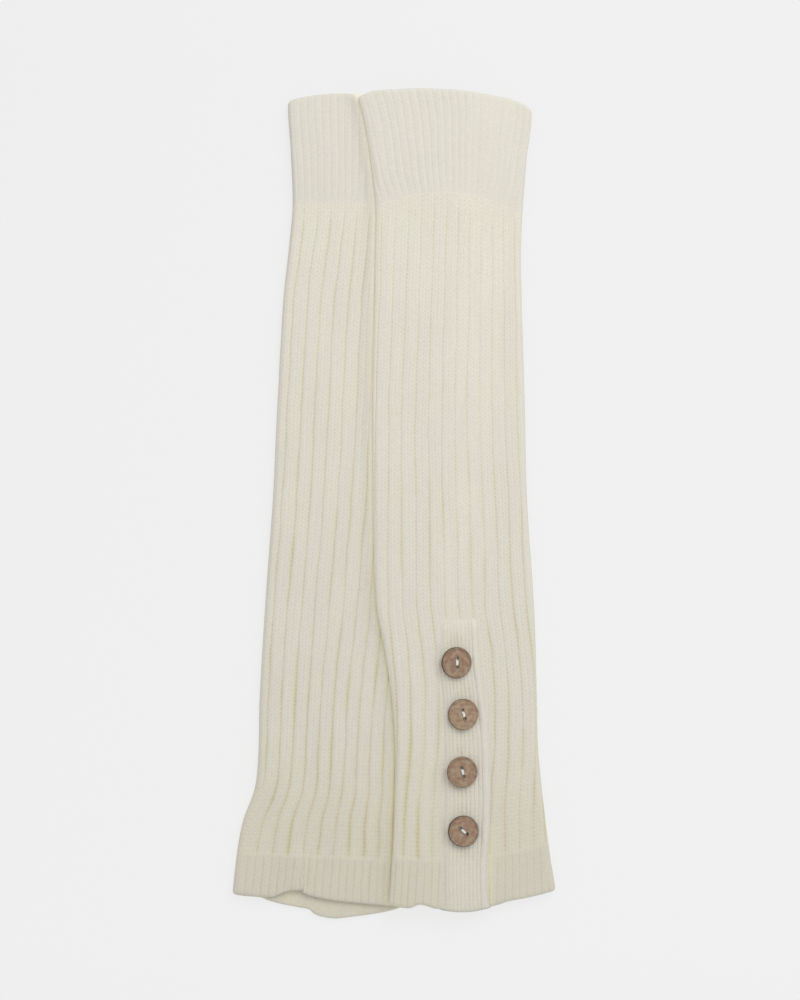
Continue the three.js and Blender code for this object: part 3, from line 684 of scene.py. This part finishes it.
for warmer in (leftWarmer, rightWarmer):
    side = warmer["name"]
    cuffEnd, hemStart, length = warmer["cuffEnd"], warmer["hemStart"], warmer["length"]
    rim, seamRim = cloth["rim"], cloth["seamRim"]
    pieces = [
        ("cuff", 0, cuffEnd + 2 * seamRim, (rim, seamRim), cuffKnit),
        ("leg", cuffEnd, hemStart + 2 * seamRim, (seamRim, seamRim), legKnit),
        ("hem", hemStart, length, (seamRim, 1.5 * rim), hemKnit),
    ]
    for kind, start, end, rims, material in pieces:
        piece = knitTube(side + kind.title(), warmer, kind, start, end, rims, material)
        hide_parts(side + "_" + kind)
        perimeter(warmer, (start + end) / 2) * mm
    print(side, "warmer made")

button = {
    "places": [(30.65, -79.6, 0), (34.05, -105.4, 18), (33.6, -134.2, 14), (34.25, -163.7, 50)],
    "radius": 7.8,
    "thickness": 3.0,
    "dish": 0.5,
    "holeRadius": 1.0,
    "holeSpacing": 4.4,
    "holeEase": 0.12,     # how much wider a hole is at its mouth
    "dishRim": 0.4,       # from the dish's flat deck to the first point of the profile
    "edge": (7.3, 7.55),  # where the dark outer edge begins and is full
    "groove": (6.75, 0.15, 0.25),   # the thin line in the rim: its radius, reach and strength
    # outside the dish: radius and height, from the dish's edge round to the underside
    "profile": [(6.6, 2.5), (6.75, 2.53), (6.9, 2.68), (7.05, 2.82), (7.2, 2.87), (7.35, 2.82), (7.55, 2.6),
                (7.72, 2.2), (7.8, 1.65), (7.76, 1.1), (7.6, 0.6), (7.3, 0.25), (6.7, 0.0)],
    "ring": [0.8, 0.55, 0.2, 1.0],      # how dark each button's edge is
    "tone": [0.1, 0.8, 0.35, 0.3],     # how light its wood is
    "grain": [(3.1, 0.4), (1.2, 2.6), (6.3, 5.2), (4.4, 8.9)],   # which part of the wood it shows
}


def frontHeight(x, y):
    return 2 * half + groundAt(rightWarmer, x, y) + swellAt(rightWarmer, x, y)


def hemEdge(x):
    # where the right hem's front edge is, at a place across
    length = rightWarmer["length"]
    left, right = rightWarmer["leftAt"](length), rightWarmer["rightAt"](length)
    u = (x - left) / (right - left)
    shape = rightWarmer["tiltAt"](length) * (u - 0.5) + rightWarmer["archAt"](length) * (1 - (2 * u - 1) ** 2)
    return rightWarmer["top"] - length + shape - rightWarmer["frontDropAt"](u)


def bandPull(x, y):
    # each button gathers the cloth: how far it draws the ribs in, how it dips and puckers there,
    # and how much its gutters open above and below
    drawn, dip, near, opened = 0, 0, 0, 0
    for cx, cy, turn in button["places"]:
        dx, dy = x - cx, y - cy
        away = math.hypot(dx, dy)
        drawn -= 0.16 * dx * math.exp(-(away / 9) ** 2)
        dip += 0.06 * math.exp(-((away - 9.2) / 2.2) ** 2) - 0.45 * (1 - smoothStep(5, 8, away))
        near = max(near, math.exp(-(away / 14) ** 2))
        opened = max(opened, math.exp(-((abs(dy) - 11) / 3.5) ** 2 - (dx / 4.5) ** 2))
    return drawn, dip, near, opened


def bandProfile():
    # across the band from its sewn side: share of the width, recess, gutter and stitch column
    ribbed = 1 - band["selvedge"]
    profile = []
    for k in range(band["ribs"]):
        for phase in band["phases"]:
            gutter = math.exp(-(min(phase, 1 - phase) / band["ribSpread"]) ** 2)
            column = k + phase
            profile.append((ribbed * column / band["ribs"], band["ribDepth"] * gutter, gutter, column))
    for i in range(13):
        t = i / 12
        gutter = math.exp(-(t / 0.07) ** 2)
        crown = -0.35 * math.sin(math.pi * min(1, t / 0.8)) ** 0.8
        over = (band["thickness"] + 0.9) * smoothStep(0.45, 1, t) ** 1.2
        profile.append((mix(ribbed, 1, t), 0.3 * gutter + crown + over, gutter, band["ribs"] + 2 * t))
    return profile


def buttonBand():
    profile = bandProfile()
    last = len(profile) - 1
    rows = round(150 / band["step"])
    thickness, ribbed = band["thickness"], 1 - band["selvedge"]
    toneClosed, toneOpened = band["tone"]
    bm = bmesh.new()
    bmesh.ops.create_grid(bm, x_segments=2 * last, y_segments=rows, size=1)
    uv = bm.loops.layers.uv.new("knit")
    gutterShadeLayer = bm.verts.layers.float.new("gutter")
    paleLayer = bm.verts.layers.float.new("pale")
    for vert in bm.verts:
        column = round((vert.co.x + 1) * last)
        row = round((vert.co.y + 1) / 2 * rows)
        under = column > last
        across, recess, gutter, stitch = profile[2 * last - column if under else column]
        # rows are closer where the ends round over
        t = row / rows
        guess = mix(band["y"][0], hemEdge(mix(20, 48, across)), t)
        x = mix(bandLeftAt(-guess), bandRightAt(-guess), across)
        y = mix(band["y"][0], hemEdge(x), t)
        drawn, dip, near, opened = bandPull(x, y)
        x += drawn + 0.5 * noise.noise(Vector((across * 5, y / 22, 5.0))) * math.sin(math.pi * across)
        fromTop, fromHem = band["y"][0] - y, y - hemEdge(x)
        # the sewn side and the top thin out into the leg, the hem's edge and selvedge round over
        body = 0.5 * smoothStep(-2, 9, fromTop) + 0.5 * smoothStep(0, 30, fromTop)
        body = smoothStep(-0.04, 0.34, across) * body
        pucker = 0.5 * near * noise.noise(Vector((x / 2.6, y / 9, 1.0)))
        top = thickness * body - (recess + dip - pucker) * min(1, body * 1.3)
        roundOver = math.sqrt(max(0, 1 - (1 - min(1, max(0, fromHem) / band["endRound"])) ** 2))
        edge = band["edge"] * thickness * body
        low = edge * (1 - roundOver)
        top = mix(edge, top, roundOver)
        if row in (0, rows) or across == 0:
            top = low = edge
        elif across > band["turned"]:
            low = min(top - 0.15, band["turnedTo"])
        sunk = band["sunk"] * (1 - smoothStep(0, 0.5, body))
        vert.co = (x, y, frontHeight(x, y) + band["lie"] - sunk + (low if under else top))
        tone = toneClosed + toneOpened * opened
        # painted shade in the band's gutters, stronger where the buttons open them
        vert[gutterShadeLayer] = 0 if under else gutter * tone * smoothStep(0, 0.15, across)
        vert[paleLayer] = band["pale"] * smoothStep(ribbed, ribbed + 0.06, across)
        for loop in vert.link_loops:
            loop[uv].uv = (stitch, -y / cloth["course"])
    return finish(bm, "buttonBand", bandKnit)


piece = buttonBand()
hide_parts("button_band")
print("button band made")


def onBand(place):
    # lays a button or its thread on the band, turned about its own axis
    x, y, turn = place
    reach = button["radius"]
    west, east = frontHeight(x - reach, y), frontHeight(x + reach, y)
    south, north = frontHeight(x, y - reach), frontHeight(x, y + reach)
    under = max((west + east) / 2, (south + north) / 2, frontHeight(x, y))
    facing = Vector((west - east, south - north, 2 * reach)).normalized()
    tilt = Vector((0, 0, 1)).rotation_difference(facing).to_matrix().to_4x4()
    seat = Vector((x, y, under - 0.2 + band["thickness"]))
    return Matrix.Translation(seat) @ tilt @ Matrix.Rotation(math.radians(turn), 4, "Z")


def woodMaterial():
    material = bpy.data.materials.new("buttonWood")
    material.use_nodes = True
    tree = material.node_tree
    shader = tree.nodes["Principled BSDF"].inputs
    uv = node(tree, "ShaderNodeUVMap", {"uv_map": "wood"}).outputs["UV"]
    ring = node(tree, "ShaderNodeAttribute", {"attribute_name": "ring"}).outputs["Fac"]
    tone = node(tree, "ShaderNodeAttribute", {"attribute_name": "tone"}).outputs["Fac"]
    bent = node(tree, "ShaderNodeTexNoise", {"noise_dimensions": "2D"}, Vector=uv, Scale=0.35, Detail=2.0)
    shifted = node(tree, "ShaderNodeVectorMath", {"operation": "MULTIPLY_ADD"}, i0=bent.outputs["Color"],
                   i1=(2.4, 2.4, 0), i2=uv).outputs[0]
    # growth rings, fine pores along them and soft darker patches
    rings = node(tree, "ShaderNodeTexWave", {"wave_type": "RINGS", "rings_direction": "Z"}, Vector=shifted,
                 Scale=0.12, Distortion=6.0, Detail=3.0, Detail_Scale=1.1).outputs["Fac"]
    pores = node(tree, "ShaderNodeTexNoise", {"noise_dimensions": "2D"}, Vector=shifted, Scale=2.6,
                 Detail=4.0, Roughness=0.65).outputs["Fac"]
    patch = node(tree, "ShaderNodeTexNoise", {"noise_dimensions": "2D"}, Vector=uv, Scale=0.4,
                 Detail=2.0).outputs["Fac"]
    wood = blend(tree, tone, (0.262, 0.166, 0.108, 1), (0.375, 0.272, 0.173, 1))
    grain = calc(tree, "MULTIPLY", calc(tree, "POWER", rings, 3.0), 0.5)
    wood = blend(tree, grain, wood, (0.19, 0.11, 0.072, 1))
    red = node(tree, "ShaderNodeMapRange", None, Value=bent.outputs["Fac"], From_Min=0.48, From_Max=0.62,
               To_Max=0.5).outputs[0]
    wood = blend(tree, red, wood, (0.27, 0.145, 0.1, 1))
    light = node(tree, "ShaderNodeMapRange", None, Value=patch, From_Min=0.46, From_Max=0.64,
                 To_Max=0.55).outputs[0]
    wood = blend(tree, calc(tree, "MULTIPLY", calc(tree, "GREATER_THAN", pores, 0.62), 0.25), wood,
                 (0.13, 0.075, 0.05, 1))
    wood = blend(tree, light, wood, (0.40, 0.31, 0.215, 1))
    wood = blend(tree, calc(tree, "MINIMUM", ring, 1.0), wood, (0.09, 0.06, 0.04, 1))
    tree.links.new(wood, shader["Base Color"])
    height = calc(tree, "MULTIPLY_ADD", rings, -0.4, pores)
    bump = node(tree, "ShaderNodeBump", None, Height=height, Strength=0.6, Distance=0.08 * mm)
    tree.links.new(bump.outputs[0], shader["Normal"])
    tree.links.new(calc(tree, "MULTIPLY_ADD", pores, 0.2, 0.45), shader["Roughness"])
    shader["Specular IOR Level"].default_value = 0.35
    return material


def fillFlat(bm, edges):
    return bmesh.ops.triangle_fill(bm, edges=edges, use_beauty=True, normal=(0, 0, 1))


def extrudeRing(bm, edges, scale, drop, about=Matrix()):
    # steps a ring of edges on to the next one, scaled about an upright axis and moved down
    made = bmesh.ops.extrude_edge_only(bm, edges=edges)["geom"]
    verts = [g for g in made if isinstance(g, bmesh.types.BMVert)]
    bmesh.ops.scale(bm, vec=(scale, scale, 1), space=about, verts=verts)
    bmesh.ops.translate(bm, vec=(0, 0, -drop), verts=verts)
    return [g for g in made if isinstance(g, bmesh.types.BMEdge)
            and all(v in verts for v in g.verts)]


def woodButton(index, material):
    profile = button["profile"]
    deck = button["thickness"] - button["dish"]
    deckRadius = profile[0][0] - button["dishRim"]
    ease = button["holeEase"]
    mouth = button["holeRadius"] + ease
    bm = bmesh.new()
    rim = bmesh.ops.create_circle(bm, segments=72, radius=deckRadius,
                                  matrix=Matrix.Translation((0, 0, deck)))["verts"]
    rimEdges = list({e for v in rim for e in v.link_edges})
    holeEdges = []
    for side in (-1, 1):
        spot = Matrix.Translation((0, side * button["holeSpacing"] / 2, deck))
        hole = bmesh.ops.create_circle(bm, segments=24, radius=mouth, matrix=spot)["verts"]
        holeEdges.append(list({e for v in hole for e in v.link_edges}))
    fillFlat(bm, rimEdges + holeEdges[0] + holeEdges[1])
    # the holes go down through the wood, each a little eased at its mouth
    feet = []
    for side, edges in zip((-1, 1), holeEdges):
        middle = Matrix.Translation((0, -side * button["holeSpacing"] / 2, 0))
        edges = extrudeRing(bm, edges, 1 - ease / mouth, ease, middle)
        feet += extrudeRing(bm, edges, 1, deck - ease, middle)
    radius, height = deckRadius, deck
    edges = rimEdges
    for nextRadius, nextHeight in profile:
        edges = extrudeRing(bm, edges, nextRadius / radius, height - nextHeight)
        radius, height = nextRadius, nextHeight
    fillFlat(bm, edges + feet)
    uv = bm.loops.layers.uv.new("wood")
    ringLayer = bm.verts.layers.float.new("ring")
    toneLayer = bm.verts.layers.float.new("tone")
    grainX, grainY = button["grain"][index]
    grooveAt, grooveReach, grooveTone = button["groove"]
    for vert in bm.verts:
        away = vert.co.xy.length
        inHole = vert.co.z < deck - 0.05 and away < 4
        outline = smoothStep(*button["edge"], away) * button["ring"][index]
        groove = grooveTone * math.exp(-((away - grooveAt) / grooveReach) ** 2)
        # the holes' walls take the lightest wood and no dark edge: painted light against the shade inside
        # them
        vert[ringLayer] = 0 if inHole else max(outline, groove)
        vert[toneLayer] = 1 if inHole else button["tone"][index]
        for loop in vert.link_loops:
            loop[uv].uv = (vert.co.x + 10 * grainX, vert.co.y + 10 * grainY)
    bmesh.ops.transform(bm, matrix=onBand(button["places"][index]), verts=bm.verts[:])
    return finish(bm, "button" + str(index + 1), material, math.radians(38))


buttonWood = woodMaterial()
for i in range(len(button["places"])):
    piece = woodButton(i, buttonWood)
    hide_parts("button_" + str(i + 1))
print("buttons made")

# two strands of thread pass through the holes side by side
thread = {"radius": 0.34, "apart": 0.3, "rings": 22, "sides": 12, "foot": 1.6, "bridge": 0.42,
          "within": 0.95, "turnDown": (0.55, 1), "lean": (0.5, 0.95)}


def threadMaterial():
    material = bpy.data.materials.new("whiteThread")
    material.use_nodes = True
    tree = material.node_tree
    shader = tree.nodes["Principled BSDF"].inputs
    uv = node(tree, "ShaderNodeUVMap", {"uv_map": "twist"}).outputs["UV"]
    plies = node(tree, "ShaderNodeTexWave", {"bands_direction": "DIAGONAL"}, Vector=uv,
                 Scale=1.0).outputs["Fac"]
    place = node(tree, "ShaderNodeTexCoord").outputs["Object"]
    fuzz = node(tree, "ShaderNodeGroup", {"node_tree": fuzzGroup}, Place=place).outputs["Height"]
    colour = blend(tree, plies, (0.78, 0.74, 0.68, 1), (0.92, 0.90, 0.86, 1))
    tree.links.new(colour, shader["Base Color"])
    bump = node(tree, "ShaderNodeBump", None, Height=calc(tree, "ADD", plies, fuzz), Distance=0.08 * mm)
    tree.links.new(bump.outputs[0], shader["Normal"])
    shader["Roughness"].default_value = 0.7
    shader["Sheen Weight"].default_value = 0.2
    return material


def threadStaple(index, material):
    deck = button["thickness"] - button["dish"]
    reach = button["holeSpacing"] / 2 - thread["within"]
    bm = bmesh.new()
    uv = bm.loops.layers.uv.new("twist")
    for strand in (-1, 1):
        lastRing = None
        for ring in range(thread["rings"] + 1):
            # over the bridge from hole to hole: a flat arch whose feet turn down into the holes
            t = 2 * ring / thread["rings"] - 1
            y = reach * math.copysign(1 - (1 - abs(t)) ** 1.6, t)
            fall = (thread["foot"] + thread["bridge"]) * smoothStep(*thread["turnDown"], abs(t)) ** 1.4
            z = deck + thread["bridge"] - fall
            x = strand * thread["apart"] * math.cos(1.1 * t)
            lean = smoothStep(*thread["lean"], abs(t)) * math.copysign(1, t)
            turn = Matrix.Rotation(math.radians(90 - 80 * lean), 4, "X")
            made = bmesh.ops.create_circle(bm, segments=thread["sides"], radius=thread["radius"],
                                           cap_ends=ring in (0, thread["rings"]),
                                           matrix=Matrix.Translation((x, y, z)) @ turn)
            edges = list({e for v in made["verts"] for e in v.link_edges})
            if lastRing:
                bmesh.ops.bridge_loops(bm, edges=lastRing + edges)
            lastRing = edges
    for face in bm.faces:
        for loop in face.loops:
            loop[uv].uv = (loop.vert.co.y * 1.2, loop.vert.co.x * 2.0 + loop.vert.co.z)
    bmesh.ops.transform(bm, matrix=onBand(button["places"][index]), verts=bm.verts[:])
    return finish(bm, "thread" + str(index + 1), material)


whiteThread = threadMaterial()
for i in range(len(button["places"])):
    piece = threadStaple(i, whiteThread)
    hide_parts("thread_" + str(i + 1))
print("thread made")

# the pale table glows a little, so that its shadows stay faint, and keeps one tone all over
floor = {"drop": 0.3, "size": 6000, "near": 0.142, "far": 0.115, "reach": 220, "glow": 0.735}
bm = bmesh.new()
bmesh.ops.create_grid(bm, x_segments=1, y_segments=1, size=floor["size"] / 2 * mm,
                      matrix=Matrix.Translation((0, 0, -floor["drop"] * mm)))
floorMesh = bpy.data.meshes.new("floor")
bm.to_mesh(floorMesh)
bm.free()
floorMaterial = bpy.data.materials.new("paleFloor")
floorMaterial.use_nodes = True
tree = floorMaterial.node_tree
shader = tree.nodes["Principled BSDF"].inputs
place = node(tree, "ShaderNodeTexCoord").outputs["Object"]
along = node(tree, "ShaderNodeSeparateXYZ", None, Vector=place).outputs["Y"]
tone = node(tree, "ShaderNodeMapRange", None, Value=along, From_Min=-floor["reach"] * mm,
            From_Max=floor["reach"] * mm, To_Min=floor["near"], To_Max=floor["far"]).outputs[0]
tree.links.new(node(tree, "ShaderNodeCombineColor", None, Red=tone, Green=tone, Blue=tone).outputs[0],
               shader["Base Color"])
shader["Roughness"].default_value = 1
shader["Specular IOR Level"].default_value = 0
shader["Emission Color"].default_value = (1, 1, 1, 1)
shader["Emission Strength"].default_value = floor["glow"]
floorMesh.materials.append(floorMaterial)
floorPiece = bpy.data.objects.new("floor", floorMesh)
bpy.context.scene.collection.objects.link(floorPiece)

light = {"place": (0.34, 0.6, 0.8), "aim": (0.13, 0.4, 0), "size": 0.8, "watts": 5.95, "sky": 0.708}
lamp = bpy.data.lights.new("softLight", "AREA")
lamp.size = light["size"]
lamp.energy = light["watts"]
lampPiece = bpy.data.objects.new("softLight", lamp)
lampPiece.location = light["place"]
lampPiece.rotation_mode = "QUATERNION"
towards = Vector(light["place"]) - Vector(light["aim"])
lampPiece.rotation_quaternion = towards.to_track_quat("Z", "Y")
bpy.context.scene.collection.objects.link(lampPiece)

world = bpy.data.worlds.new("studio")
world.use_nodes = True
world.node_tree.nodes["Background"].inputs["Color"].default_value = (1, 1, 1, 1)
world.node_tree.nodes["Background"].inputs["Strength"].default_value = light["sky"]
bpy.context.scene.world = world
bpy.context.scene.view_settings.view_transform = "Standard"

# straight above the pair
view = {"place": (3.0 * mm, 1.25 * mm, 1.394), "lens": 100, "sensor": 36}
lens = bpy.data.cameras.new("camera")
lens.lens = view["lens"]
lens.sensor_width = view["sensor"]
camera = bpy.data.objects.new("camera", lens)
camera.location = view["place"]
bpy.context.scene.collection.objects.link(camera)
bpy.context.scene.camera = camera
print("floor, light and camera set")
